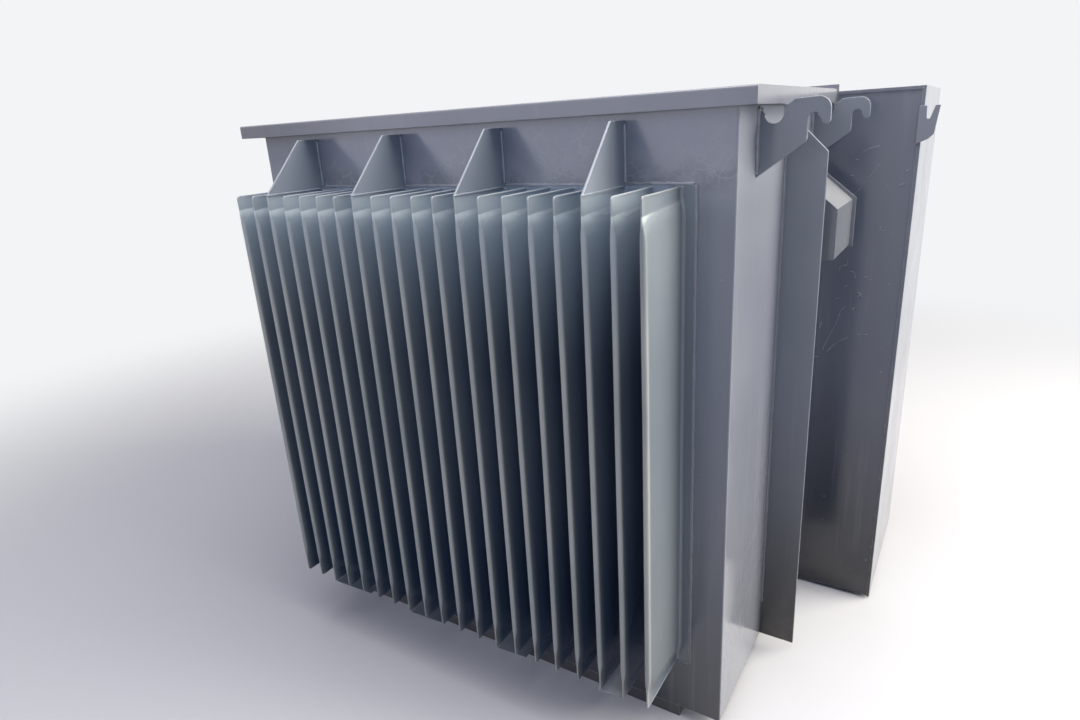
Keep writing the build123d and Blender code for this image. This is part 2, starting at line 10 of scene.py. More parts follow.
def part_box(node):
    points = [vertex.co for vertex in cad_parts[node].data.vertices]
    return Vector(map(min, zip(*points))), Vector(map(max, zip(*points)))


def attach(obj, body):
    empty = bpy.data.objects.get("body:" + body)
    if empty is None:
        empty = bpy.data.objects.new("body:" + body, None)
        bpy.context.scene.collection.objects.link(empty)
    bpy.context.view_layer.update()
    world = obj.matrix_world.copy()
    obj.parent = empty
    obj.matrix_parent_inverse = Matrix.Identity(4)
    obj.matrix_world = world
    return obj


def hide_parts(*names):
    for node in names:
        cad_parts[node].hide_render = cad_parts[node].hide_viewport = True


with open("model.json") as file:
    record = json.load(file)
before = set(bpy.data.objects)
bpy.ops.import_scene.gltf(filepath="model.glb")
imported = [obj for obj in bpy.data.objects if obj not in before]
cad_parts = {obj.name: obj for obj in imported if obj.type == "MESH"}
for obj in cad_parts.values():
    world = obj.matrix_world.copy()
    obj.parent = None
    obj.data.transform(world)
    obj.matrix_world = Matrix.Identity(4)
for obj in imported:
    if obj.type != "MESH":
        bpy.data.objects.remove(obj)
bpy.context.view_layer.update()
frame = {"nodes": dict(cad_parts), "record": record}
MM = 0.001


def reach(node, axis):
    """Lowest and highest place of a node of the construction along x, y or z, in metres."""
    low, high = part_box(node)
    step = "xyz".index(axis)
    return round(low[step], 6), round(high[step], 6)


def middle(node, axis):
    return sum(reach(node, axis)) / 2


# The photograph's viewpoint, in metres and degrees
CAMERA_PLACE = (1.063, -1.857, 1.452)
CAMERA_YAW = 32.99
CAMERA_PITCH = 18.67
CAMERA_ROLL = -3.474
CAMERA_LENS = 22.94
CAMERA_SENSOR = 36.0

# Lamps: place, point aimed at, side in metres, watts, colour, and whether polished paint mirrors the lamp.
# The key's mirror image would bleach the smooth cabinet side.
LAMPS = {
    "overhead": ((0.3, -0.7, 4.6), (0.0, -0.2, 1.0), 3.4, 195, (0.95, 0.94, 1.0), True),
    "right_key": ((5.1, 2.1, 2.6), (0.5, -0.3, 0.8), 4.0, 560, (1.0, 0.96, 0.88), False),
    "right_sky": ((4.0, 0.4, 4.4), (0.3, -0.1, 0.9), 3.0, 140, (1.0, 0.96, 0.90), True),
    "front_left": ((-3.6, -7.0, 3.7), (0.0, -0.5, 1.0), 6.0, 180, (0.80, 0.81, 1.0), True),
    "front_right": ((3.8, -6.0, 2.4), (0.0, -0.5, 1.0), 3.0, 75, (0.45, 0.62, 1.0), True),
}
BACKDROP = (0.90, 0.905, 0.92, 1.0)
SKY_LIGHT = (0.50, 0.80, 1.45, 1.0)
SKY_STRENGTH = 0.03
FLOOR_SEEN = (0.57, 0.565, 0.575, 1.0)
FLOOR_BOUNCE = (0.24, 0.23, 0.22, 1.0)
FLOOR_REACH = 60.0
FLOOR_FADE = (1.2, 5.0)

# Directions: towards the cabinet is back, towards the fins' noses is forward
RIGHT, LEFT = (1, 0, 0), (-1, 0, 0)
BACK, FORWARD = (0, 1, 0), (0, -1, 0)
UP, DOWN = (0, 0, 1), (0, 0, -1)

# Tank, lid, rails and cabinet
TANK_HALF = reach("tank", "x")[1]
WALL_Y = reach("tank", "y")[0]
LID_LOW, LID_TOP = reach("tank_lid", "z")
CABINET_HALF = reach("cabinet_right_side", "x")[1]
BASE_HEIGHT = reach("front_base_rail", "z")[1]
FRONT_RAIL_BACK_Y = reach("front_base_rail", "y")[1]
REAR_RAIL_FRONT_Y = reach("rear_base_rail", "y")[0]
RAIL_WELD_END = 0.560

# Sheet behind the fins
PANEL_LEFT, PANEL_RIGHT = reach("front_fin_panel", "x")
PANEL_LOW, PANEL_HIGH = reach("front_fin_panel", "z")
PANEL_SHEET = 0.003
PANEL_CORNER = 0.004
PANEL_EDGE = 0.0009
PANEL_FACE_Y = WALL_Y - PANEL_SHEET

# Gussets, in line with some of the fins, with a land at the wall
GUSSET_FINS = (3, 8, 13, 18)
GUSSET_X = [middle(f"top_gusset_{k + 1}", "x") for k in range(len(GUSSET_FINS))]
GUSSET_TOP = reach("top_gusset_1", "z")[1]
GUSSET_LOW = reach("bottom_gusset_1", "z")[0]
GUSSET_TIP_Y = reach("top_gusset_1", "y")[0] + 0.0005
GUSSET_LAND = 0.061
GUSSET_HALF = 0.0025
GUSSET_EDGE = 0.0010

# Cooling fins
FIN_COUNT = 20
FIN_PITCH = (GUSSET_X[-1] - GUSSET_X[0]) / (GUSSET_FINS[-1] - GUSSET_FINS[0])
FIRST_FIN_X = GUSSET_X[0] - FIN_PITCH * (GUSSET_FINS[0] - 1)
FIN_DEPTH = 0.182
FIN_HALF = 0.007
FIN_TOP = PANEL_HIGH - PANEL_SHEET
FIN_BOTTOM = PANEL_LOW + PANEL_SHEET
FIN_CORNER = 0.009
GUSSET_FIN_CORNER = 0.0025
ROOT_FILLET = 0.006
ROOT_OVERLAP = 0.0015
# Welded seam: half thickness, and height at the root and at the nose
SEAM_HALF = 0.002
SEAM_AT_ROOT = 0.023
SEAM_AT_NOSE = 0.034
# Swell: height of its slope, then how far back it starts, over what height it comes forward, and its fall in depth
SWELL_HEIGHT = 0.034
PILLOW_BACK = 0.004
PILLOW_DOWN = 0.048
PILLOW_FALL = 0.055
# Weld bulge at a fin's edge: distance from the edge and half thickness, in millimetres
WELD_FALL = (0.0, 0.9, 2.2, 3.8, 5.4, 7.5)
WELD_HALF = (1.3, 2.7, 3.1, 2.7, 2.1, 2.0)
# How far the fins' noses stand off sideways, in millimetres, at mid-height or at seven levels going up
FIN_BOWS = {12: 2.0, 16: 2.0, 19: 2.5, 20: 1.5}
PUSHED_FIN = 11
PUSHED_LEVELS = (0, 0.31, 0.45, 0.585, 0.715, 0.845, 1)
PUSHED_ASIDE = (0, 2.6, 4.1, 4.8, 5.2, 4.4, 0.5)

# Lifting lugs: half thickness, rounded edge, and the outline's corners (right of the tank's end, down from the lid's
# top, radius) in millimetres: a hook open downwards, and a slot round the lid's lip
LUG_Y = {word: middle(f"right_{word}_lifting_lug", "y") for word in ("near", "far")}
LUG_LOW = reach("right_near_lifting_lug", "z")[0]
LUG_HALF = 0.005
LUG_EDGE = 0.0012
LUG_CORNERS = [
    (93.5, 52, 11), (115.5, 52, 11), (115.5, 63, 0), (118, 66, 0), (118, 74, 8), (134, 74, 8), (134, 22, 24),
    (69, 25, 3), (57, 34, 2), (49, 34, 1), (49, 69, 18), (13, 69, 18), (13, 51, 0), (0, 34, 0), (0, 171, 0),
    (93.5, 103, 9),
]

# Side plates, with the outer top corner cut off at 45 degrees
SIDE_PLATE_LOW, SIDE_PLATE_TOP = reach("right_side_plate", "z")
SIDE_PLATE_WIDTH = reach("right_side_plate", "x")[1] - TANK_HALF
SIDE_PLATE_Y = middle("right_side_plate", "y")
SIDE_PLATE_CUT = 0.048
SIDE_PLATE_HALF = 0.004
SIDE_PLATE_EDGE = 0.0012

# Cabinet hooks: rounded edge, and the outline's corners (right of the cabinet's side, height, radius) in millimetres
HOOK_EDGE = 0.0009
HOOK_CORNERS = [
    (7.5, 1417, 3.4), (6, 1448, 0), (-11, 1448, 0), (-11, 1358, 0), (15.5, 1369.5, 4), (27, 1381, 4), (35, 1448, 0),
    (24, 1448, 0), (14.5, 1417, 3.4),
]

# Welds: how far each reaches along its first and its second wall
SHEET_WELD = (0.0058, 0.0042)
GUSSET_WELD = (0.0045, 0.0045)
SEAM_WELD = (0.0022, 0.0032)
LUG_WELD = (0.006, 0.006)
SIDE_PLATE_WELD = (0.0045, 0.0045)
HOOD_WELD = (0.004, 0.004)
RAIL_WELD = (0.006, 0.006)
WELD_TAPER = 0.004
WELD_STEP = 0.0025
WELD_BEHIND = -0.0004
# Where the welds of the side plates start on the near and the far face, and those of the hood start and stop
SIDE_WELD_STARTS = (0.142, 0.060)
HOOD_LOW = reach("wiring_hood", "z")[0]
HOOD_NEAR_Y = reach("wiring_hood", "y")[0]
HOOD_WELD_Y = (-0.120, 0.080)
HOOD_WELD_Z = (1.116, 1.322)

# Threads and tufts just off the cabinet's face: radius, then places right of the middle and above the ground, in
# millimetres
WEB_FACE_Y = reach("cabinet_back_sheet", "y")[0] - 0.0015
WEB_LINES = [
    (0.50, (775, 1234), (794, 1262), (813, 1290), (829, 1313)),
    (1.10, (810, 1283), (816, 1294)),
    (0.45, (787, 1343), (804, 1352), (825, 1357)),
    (0.90, (889, 1294), (894, 1295), (899, 1297)),
    (1.40, (886, 1260), (889, 1263)),
    (0.60, (879, 1257), (883, 1259), (887, 1262)),
    (0.80, (771, 1324), (777, 1325)),
    (0.80, (760, 1284), (769, 1285)),
    (0.45, (844, 1153), (846, 1146), (853, 1142), (858, 1143)),
    (0.45, (753, 1029), (758, 1043), (770, 1046), (771, 1060)),
    (0.50, (780, 1028), (791, 1026), (794, 1010)),
    (0.60, (769, 985), (777, 990)),
    (1.10, (817, 1015), (827, 1016)),
    (0.70, (830, 1009), (836, 1010)),
    (1.20, (804, 971), (809, 969), (816, 960)),
    (0.80, (804, 958), (811, 965)),
    (1.20, (795, 922), (799, 928)),
    (0.65, (726, 798), (739, 838), (752, 869), (764, 913)),
    (0.45, (764, 913), (769, 922), (776, 928)),
    (0.60, (736, 791), (749, 808), (762, 822), (790, 841)),
    (1.00, (712, 861), (718, 878)),
    (0.55, (748, 950), (753, 950), (758, 953)),
    (0.60, (812, 851), (826, 854), (839, 853)),
    (0.90, (706, 772), (713, 774)),
    (0.70, (895, 135), (899, 140)),
    (0.70, (905, 187), (909, 192)),
]

# Angles past which an edge stays sharp, in degrees
PLATE_CREASE = 35.0
FIN_CREASE = 50.0
WELD_CREASE = 60.0
THREAD_CREASE = 80.0

noise_source = np.random.default_rng(41)


# ---------------------------------------------------------------- node trees

class Nodes:
    """A node tree, laid out one node at a time."""

    def __init__(self, tree):
        self.tree = tree

    def add(self, kind, **settings):
        node = self.tree.nodes.new(kind)
        for key, value in settings.items():
            setattr(node, key, value)
        return node

    def feed(self, socket, value):
        """Links an output to the socket, or writes a plain number or colour on it."""
        if isinstance(value, bpy.types.NodeSocket):
            self.tree.links.new(value, socket)
        else:
            socket.default_value = value

    def maths(self, operation, first, second=0.0):
        node = self.add("ShaderNodeMath", operation=operation)
        self.feed(node.inputs[0], first)
        self.feed(node.inputs[1], second)
        return node.outputs[0]

    def times(self, first, *others):
        """Product of two or more values."""
        for other in others:
            first = self.maths("MULTIPLY", first, other)
        return first

    def remap(self, value, low, high, to_low=0.0, to_high=1.0, curve="SMOOTHSTEP"):
        """Value between low and high, spread over the new range and held at its ends."""
        node = self.add("ShaderNodeMapRange", interpolation_type=curve)
        self.feed(node.inputs["Value"], value)
        node.inputs["From Min"].default_value = low
        node.inputs["From Max"].default_value = high
        node.inputs["To Min"].default_value = to_low
        node.inputs["To Max"].default_value = to_high
        return node.outputs[0]

    def blend(self, amount, under, over, kind="MIX"):
        """Colour under, covered or multiplied by colour over where amount is one."""
        node = self.add("ShaderNodeMix", data_type="RGBA", blend_type=kind)
        self.feed(node.inputs["Factor"], amount)
        self.feed(node.inputs[6], under)
        self.feed(node.inputs[7], over)
        return node.outputs[2]

    def tint(self, amount, colour, by):
        """The colour, multiplied by another where amount is one."""
        return self.blend(amount, colour, self.blend(1.0, colour, by, "MULTIPLY"))

    def mix_shaders(self, amount, under, over):
        node = self.add("ShaderNodeMixShader")
        self.feed(node.inputs[0], amount)
        self.feed(node.inputs[1], under)
        self.feed(node.inputs[2], over)
        return node.outputs[0]

    def seen_directly(self):
        """One where a camera, glossy or transmission ray looks, nought for the rays that carry light."""
        path = self.add("ShaderNodeLightPath")
        first = self.maths("MAXIMUM", path.outputs["Is Camera Ray"], path.outputs["Is Glossy Ray"])
        return self.maths("MAXIMUM", first, path.outputs["Is Transmission Ray"])


class Finish(Nodes):
    """A material's node tree, whose patterns are placed by where they lie on the piece."""

    def __init__(self, name):
        self.material = bpy.data.materials.new(name)
        self.material.use_nodes = True
        super().__init__(self.material.node_tree)
        self.shader = self.tree.nodes["Principled BSDF"]
        self.place = self.add("ShaderNodeTexCoord").outputs["Object"]

    def stretch(self, scale, turn=(0.0, 0.0, 0.0)):
        """Place on the piece, stretched by a scale in each direction."""
        mapping = self.add("ShaderNodeMapping")
        self.feed(mapping.inputs["Vector"], self.place)
        mapping.inputs["Scale"].default_value = scale
        mapping.inputs["Rotation"].default_value = turn
        return mapping.outputs[0]

    def noise(self, scale, detail=3.0, rough=0.5, place=None, output="Fac"):
        node = self.add("ShaderNodeTexNoise")
        self.feed(node.inputs["Vector"], place or self.place)
        node.inputs["Scale"].default_value = scale
        node.inputs["Detail"].default_value = detail
        node.inputs["Roughness"].default_value = rough
        return node.outputs[output]

    def cells(self, scale, feature, place=None):
        """Scattered cells."""
        node = self.add("ShaderNodeTexVoronoi", feature=feature)
        self.feed(node.inputs["Vector"], place or self.place)
        node.inputs["Scale"].default_value = scale
        return node

    def along(self, axis):
        """How far along X, Y or Z the place is."""
        split = self.add("ShaderNodeSeparateXYZ")
        self.feed(split.inputs[0], self.place)
        return split.outputs[axis]

    def height(self):
        return self.along("Z")

    def facing(self, axis, kind="True Normal"):
        """How squarely the face looks along the axis, minus one to one."""
        geometry = self.add("ShaderNodeNewGeometry")
        split = self.add("ShaderNodeSeparateXYZ")
        self.feed(split.inputs[0], geometry.outputs[kind])
        return split.outputs[axis]

    def scaled(self, colour, factor):
        """The colour times a number that varies over the piece."""
        grey = self.add("ShaderNodeCombineColor")
        for channel in range(3):
            self.feed(grey.inputs[channel], factor)
        return self.blend(1.0, colour, grey.outputs[0], "MULTIPLY")

    def rounded_edge(self, radius):
        """Normal rounded off over the sharp edges, and how far it differs from the flat face's."""
        bevel = self.add("ShaderNodeBevel", samples=6)
        bevel.inputs["Radius"].default_value = radius
        geometry = self.add("ShaderNodeNewGeometry")
        agree = self.add("ShaderNodeVectorMath", operation="DOT_PRODUCT")
        self.feed(agree.inputs[0], bevel.outputs[0])
        self.feed(agree.inputs[1], geometry.outputs["Normal"])
        return bevel.outputs[0], self.remap(agree.outputs["Value"], 0.995, 0.86)

    def bump(self, height, distance, strength=1.0, normal=None):
        node = self.add("ShaderNodeBump")
        node.inputs["Distance"].default_value = distance
        node.inputs["Strength"].default_value = strength
        self.feed(node.inputs["Height"], height)
        if normal is not None:
            self.feed(node.inputs["Normal"], normal)
        return node.outputs[0]


# ---------------------------------------------------------------- camera, light and floor

def link_object(name, data):
    item = bpy.data.objects.new(name, data)
    bpy.context.scene.collection.objects.link(item)
    return item


def add_camera():
    """Camera looking along +Y turned by the yaw, tipped down by the pitch, then rolled about its own axis."""
    yaw, pitch, roll = (math.radians(a) for a in (CAMERA_YAW, CAMERA_PITCH, CAMERA_ROLL))
    data = bpy.data.cameras.new("camera")
    data.lens = CAMERA_LENS
    data.sensor_width = CAMERA_SENSOR
    data.sensor_fit = "HORIZONTAL"
    camera = link_object("camera", data)
    level = Matrix.Rotation(yaw, 4, "Z") @ Matrix.Rotation(math.radians(90) - pitch, 4, "X")
    camera.matrix_world = Matrix.Translation(CAMERA_PLACE) @ level @ Matrix.Rotation(roll, 4, "Z")
    bpy.context.scene.camera = camera


def add_lamp(name, place, target, side, power, colour, in_mirrors):
    """Soft square lamp aimed from its place at a target point."""
    data = bpy.data.lights.new(name, "AREA")
    data.shape = "SQUARE"
    data.size = side
    data.energy = power
    data.color = colour
    lamp = link_object(name, data)
    lamp.location = place
    lamp.rotation_euler = (Vector(place) - Vector(target)).to_track_quat("Z", "Y").to_euler()
    lamp.visible_glossy = in_mirrors


def set_world():
    """Bluish overcast light, with a pale backdrop for what the camera and the reflections see."""
    world = bpy.data.worlds.new("studio")
    bpy.context.scene.world = world
    world.use_nodes = True
    nodes = Nodes(world.node_tree)
    light = nodes.tree.nodes["Background"]
    light.inputs["Color"].default_value = SKY_LIGHT
    light.inputs["Strength"].default_value = SKY_STRENGTH
    backdrop = nodes.add("ShaderNodeBackground")
    backdrop.inputs["Color"].default_value = BACKDROP
    backdrop.inputs["Strength"].default_value = 1.0
    mixed = nodes.mix_shaders(nodes.seen_directly(), light.outputs[0], backdrop.outputs[0])
    nodes.feed(nodes.tree.nodes["World Output"].inputs["Surface"], mixed)


def add_floor():
    """Pale matt floor that turns into the backdrop's colour far from the transformer, so no horizon shows."""
    corners = [(-FLOOR_REACH, -FLOOR_REACH, 0), (FLOOR_REACH, -FLOOR_REACH, 0),
               (FLOOR_REACH, FLOOR_REACH, 0), (-FLOOR_REACH, FLOOR_REACH, 0)]
    mesh = bpy.data.meshes.new("floor")
    mesh.from_pydata(corners, [], [(0, 1, 2, 3)])
    floor = link_object("floor", mesh)
    finish = Finish("floor")
    seen = finish.seen_directly()
    finish.feed(finish.shader.inputs["Base Color"], finish.blend(seen, FLOOR_BOUNCE, FLOOR_SEEN))
    finish.shader.inputs["Roughness"].default_value = 0.95
    glow = finish.add("ShaderNodeEmission")
    glow.inputs["Color"].default_value = BACKDROP
    length = finish.add("ShaderNodeVectorMath", operation="LENGTH")
    finish.feed(length.inputs[0], finish.place)
    far = finish.remap(length.outputs["Value"], *FLOOR_FADE, curve="SMOOTHERSTEP")
    mixed = finish.mix_shaders(finish.times(far, seen), finish.shader.outputs[0], glow.outputs[0])
    finish.feed(finish.tree.nodes["Material Output"].inputs["Surface"], mixed)
    mesh.materials.append(finish.material)


# ---------------------------------------------------------------- finishes

DUST = (0.36, 0.35, 0.33, 1.0)
SPLASH = (0.105, 0.085, 0.075, 1.0)
# Pale edge paint: painted highlight with chalky wear
EDGE_WEAR_AND_HIGHLIGHT = (0.42, 0.43, 0.44)
RUST = (0.16, 0.075, 0.04, 1.0)
STAIN = (0.045, 0.050, 0.065, 1.0)
WEB_GREY = (0.34, 0.35, 0.38, 1.0)
SILK = (0.30, 0.31, 0.34, 1.0)
SILK_KNOT = (0.52, 0.53, 0.55, 1.0)
RUBBED_STEEL = (0.62, 0.61, 0.60, 1.0)
# Height from which painted shade darkens the colour towards the ground
LOW_SHADE_TOP = 0.95

# Between the fins: colours of the painted shade deep and low in the gaps, of the painted highlight with wear on the
# noses and of the painted highlight on the creases, the depths at which the painted shade begins and is full, and where
# the last fin's outer side starts
DEEP_GAP_SHADE = (0.34, 0.50, 0.90, 1.0)
LOW_GAP_SHADE = (0.40, 0.50, 0.66, 1.0)
NOSE_HIGHLIGHT_AND_WEAR = (0.39, 0.395, 0.365, 1.0)
CREASE_HIGHLIGHT = (0.82, 0.90, 0.86, 1.0)
NOSE_Y = -0.722
DARK_Y = -0.585
OUTER_X = 0.560


def paint_top_light(finish, colour, low, high, paint, on_sides, end=None):
    """Painted light: turns the colour to a paler paint as the height goes from low to high, as if lit from above.

    Faces towards +X get on_sides as much of it, and what lies beyond x = end only a little.
    """
    drift = finish.maths("ADD", finish.height(), finish.times(finish.noise(2.2, 2.0), 0.10))
    top_light = finish.remap(drift, low + 0.05, high + 0.05)
    if end:
        top_light = finish.times(top_light, finish.remap(finish.along("X"), end - 0.02, end, 1.0, 0.12))
    top_light = finish.times(top_light, finish.remap(finish.facing("X"), 0.2, 0.9, 1.0, on_sides))
    return finish.blend(top_light, colour, (*paint, 1.0))


def paint_low_shade(finish, colour, shade_low):
    """Painted shade: darkens the colour from a set height down to shade_low at the ground, least on faces turned along
    X.
    """
    low_shade_level = finish.remap(finish.height(), 0.0, LOW_SHADE_TOP, shade_low, 1.0)
    sideways = finish.times(finish.maths("ABSOLUTE", finish.facing("X")), 0.85)
    unshaded = finish.maths("SUBTRACT", 1.0, low_shade_level)
    return finish.scaled(colour, finish.maths("ADD", low_shade_level, finish.times(unshaded, sideways)))


def shade_gaps(finish, colour):
    """Paint of the fins, with painted shade between them.

    Painted shade: the colour falls to a dark blue with the depth of the gap, less near the top and on the right, and
    turns darker again low down. The noses get a pale painted highlight with some rubbed wear, most at mid-height. A
    painted highlight lies on the nose end of the crease between each fin's seam and its swell.
    """
    depth = finish.along("Y")
    inner = finish.remap(finish.along("X"), OUTER_X + 0.001, OUTER_X - 0.001)
    deep = finish.times(finish.remap(depth, NOSE_Y, DARK_Y), inner,
                        finish.remap(finish.height(), 1.32, 0.85, 0.25, 1.0),
                        finish.remap(finish.along("X"), -0.60, 0.50, 1.2, 0.7, "LINEAR"))
    colour = finish.tint(deep, colour, DEEP_GAP_SHADE)
    lower = finish.times(finish.remap(finish.height(), 0.85, 0.30),
                         finish.remap(depth, NOSE_Y + 0.008, NOSE_Y + 0.030), inner)
    colour = finish.tint(lower, colour, LOW_GAP_SHADE)

    # Painted highlight with some rubbed wear along the noses
    nose_highlight_and_wear = finish.times(finish.remap(depth, NOSE_Y + 0.015, NOSE_Y - 0.001),
                          finish.remap(finish.noise(3.0, 3.0), 0.3, 0.6, 0.6, 1.0),
                          finish.remap(finish.height(), 1.28, 1.02, 0.30, 1.0),
                          finish.remap(finish.height(), 0.20, 0.60, 0.60, 1.0))
    colour = finish.blend(nose_highlight_and_wear, colour, NOSE_HIGHLIGHT_AND_WEAR)

    # Painted highlight on the nose end of each crease
    crease = finish.remap(depth, NOSE_Y, NOSE_Y + FIN_DEPTH, FIN_TOP - SEAM_AT_NOSE, FIN_TOP - SEAM_AT_ROOT, "LINEAR")
    below = finish.maths("SUBTRACT", crease, finish.height())
    crease_highlight = finish.times(finish.remap(below, 0.0, 0.004), finish.remap(below, 0.026, 0.004),
                         finish.remap(depth, NOSE_Y + 0.070, NOSE_Y + 0.014),
                         finish.remap(finish.along("X"), OUTER_X - 0.001, OUTER_X + 0.001, 0.62, 0.12))
    return finish.blend(crease_highlight, colour, CREASE_HIGHLIGHT)


def add_streaks(finish, colour, strength):
    """Thin upright runs of dust left by the rain, in patches, and slanting runs of dirt."""
    rain = finish.noise(1.0, 4.0, 0.6, finish.stretch((34.0, 34.0, 1.1)))
    patches = finish.remap(finish.noise(2.6, 2.0), 0.42, 0.62)
    colour = finish.blend(finish.times(finish.remap(rain, 0.52, 0.74), patches, 0.35 * strength), colour, DUST)
    runs = finish.noise(1.0, 3.0, 0.55, finish.stretch((19.0, 19.0, 0.8), (0.0, 0.0, 0.6)))
    return finish.blend(finish.remap(runs, 0.60, 0.78, 0.0, 0.30 * strength), colour, SPLASH)


def dust_specks(finish):
    """Round specks in the middle of some scattered cells."""
    cells = finish.cells(34.0, "F1")
    pick = finish.add("ShaderNodeSeparateColor")
    finish.feed(pick.inputs[0], cells.outputs["Color"])
    return finish.times(finish.remap(cells.outputs["Distance"], 0.085, 0.035),
                        finish.remap(pick.outputs[0], 0.70, 0.95))


def add_webs(finish, colour, low, high):
    """Old cobweb on what faces forward between two heights: dark stains, and wisps along the edges of bent cells."""
    shift = finish.add("ShaderNodeVectorMath", operation="SCALE")
    finish.feed(shift.inputs[0], finish.noise(11.0, 2.0, output="Color"))
    shift.inputs["Scale"].default_value = 0.08
    bent = finish.add("ShaderNodeVectorMath", operation="ADD")
    finish.feed(bent.inputs[0], finish.place)
    finish.feed(bent.inputs[1], shift.outputs[0])
    wisp = finish.remap(finish.cells(26.0, "DISTANCE_TO_EDGE", bent.outputs[0]).outputs["Distance"], 0.045, 0.0)
    zone = finish.times(finish.remap(finish.height(), low, low + 0.05),
                        finish.remap(finish.height(), high + 0.03, high),
                        finish.remap(finish.facing("Y"), -0.5, -0.9))
    patch = finish.times(zone, finish.remap(finish.noise(7.0, 3.0, 0.6), 0.42, 0.60),
                         finish.remap(finish.along("X"), 0.45, -0.45, 0.60, 1.0))
    stain = finish.times(zone, finish.remap(finish.height(), low + 0.10, low + 0.03),
                         finish.remap(finish.noise(14.0, 4.0, 0.6), 0.44, 0.60), 0.45)
    colour = finish.blend(stain, colour, STAIN)
    colour = finish.blend(finish.times(wisp, patch, 0.95), colour, WEB_GREY)
    return finish.blend(finish.times(patch, 0.26), colour, DUST)


def enamel(name, dark, light, gloss=0.17, waves=0.0016, streaks=0.5, specks=0.5, up_dust_and_sheen=0.40, up_from=0.35, up_to=0.9,
           mud=0.45, splash_top=0.30, shade_low=0.55, edge=0.0015, edge_wear_and_highlight=0.55, edge_wear_and_highlight_paint=EDGE_WEAR_AND_HIGHLIGHT, lit_top=None,
           webs=None, gaps=False):
    """Glossy dark enamel on sheet or plate.

    Colour: two close tones mixed by broad clouds, rain streaks, pale specks of dust, dust on what faces up (on the fins
    also a painted highlight along the creases), splashed dirt near the ground, and lighter edges that are painted
    highlight with chalky wear, over painted shade that darkens the foot. The painted top light's argument holds what
    its function takes, webs the two heights between which cobweb hangs, and gaps adds the fins' painted shade and
    highlights.
    Relief: fine orange peel on slow waves of the sheet, with the specks standing out.
    """
    finish = Finish(name)
    clouds = finish.remap(finish.noise(1.7, 4.0), 0.32, 0.68)
    colour = finish.blend(clouds, (*dark, 1.0), (*light, 1.0))
    # Painted light: paler towards the top
    if lit_top:
        colour = paint_top_light(finish, colour, **lit_top)
    # Painted shade towards the bottom
    colour = paint_low_shade(finish, colour, shade_low)
    # Painted shade between the fins, and painted highlights on their noses and creases
    if gaps:
        colour = shade_gaps(finish, colour)
    colour = add_streaks(finish, colour, streaks)
    if specks:
        speck = dust_specks(finish)
        colour = finish.blend(finish.times(speck, specks), colour, DUST)
    # Pale dust on what faces up; on the fins, starting at a slight tilt, it is also a painted highlight along the
    # creases
    facing_up = finish.remap(finish.facing("Z", "Normal"), up_from, up_to)
    dust_and_sheen = finish.times(facing_up, finish.remap(finish.noise(24.0, 6.0, 0.7), 0.30, 0.70, 0.40, 1.0))
    colour = finish.blend(finish.times(dust_and_sheen, up_dust_and_sheen), colour, DUST)
    splashed = finish.times(finish.remap(finish.height(), splash_top, 0.0),
                            finish.remap(finish.noise(11.0, 5.0, 0.6), 0.34, 0.66))
    colour = finish.blend(finish.times(splashed, mud), colour, SPLASH)
    if webs:
        colour = add_webs(finish, colour, *webs)
    # Lighter edges: painted highlight with chalky wear
    normal, edge_mask = finish.rounded_edge(edge)
    edge_light_and_wear = finish.times(edge_mask, finish.remap(finish.noise(38.0, 3.0), 0.30, 0.62, 0.35, 1.0))
    colour = finish.blend(finish.times(edge_light_and_wear, edge_wear_and_highlight), colour, (*edge_wear_and_highlight_paint, 1.0))
    finish.feed(finish.shader.inputs["Base Color"], colour)
    finish.shader.inputs["Coat Weight"].default_value = 0.35
    finish.shader.inputs["Coat Roughness"].default_value = 0.14

    rough = finish.remap(finish.noise(6.0, 5.0, 0.6), 0.3, 0.7, gloss * 0.75, gloss * 1.25)
    rough = finish.maths("ADD", rough, finish.times(facing_up, 0.40))
    rough = finish.maths("ADD", rough, finish.times(splashed, 0.05))
    finish.feed(finish.shader.inputs["Roughness"], rough)

    relief = finish.bump(finish.noise(3.1, 1.0), waves, 1.0, normal)
    relief = finish.bump(finish.noise(520.0, 1.0), 0.00005, 0.6, relief)
    if specks:
        relief = finish.bump(speck, 0.0003, 0.5, relief)
    finish.feed(finish.shader.inputs["Normal"], relief)
    return finish.material


def steel(name, colour, gloss):
    """Dull zinc-plated steel: cloudy tone, fine scratches along its length, brown stain in patches."""
    finish = Finish(name)
    darker = tuple(channel * 0.72 for channel in colour)
    tone = finish.blend(finish.remap(finish.noise(30.0, 4.0), 0.3, 0.7), (*colour, 1.0), (*darker, 1.0))
    tone = finish.blend(finish.remap(finish.noise(55.0, 5.0, 0.7), 0.60, 0.74, 0.0, 0.5), tone, RUST)
    normal, edge_mask = finish.rounded_edge(0.0012)
    tone = finish.blend(finish.times(edge_mask, 0.5), tone, RUBBED_STEEL)
    finish.feed(finish.shader.inputs["Base Color"], tone)
    finish.shader.inputs["Metallic"].default_value = 0.85
    scratches = finish.noise(1.0, 4.0, 0.6, finish.stretch((900.0, 900.0, 40.0)))
    finish.feed(finish.shader.inputs["Roughness"], finish.remap(scratches, 0.3, 0.7, gloss, gloss + 0.18))
    finish.feed(finish.shader.inputs["Normal"], finish.bump(scratches, 0.0001, 0.4, normal))
    return finish.material


def thread(name):
    """Dusty grey spider silk with paler knots."""
    finish = Finish(name)
    tone = finish.blend(finish.remap(finish.noise(240.0, 2.0), 0.4, 0.65), SILK, SILK_KNOT)
    finish.feed(finish.shader.inputs["Base Color"], tone)
    finish.shader.inputs["Roughness"].default_value = 0.8
    finish.feed(finish.shader.inputs["Normal"], finish.bump(finish.noise(600.0, 2.0), 0.0002, 0.5))
    return finish.material


# ---------------------------------------------------------------- making skins

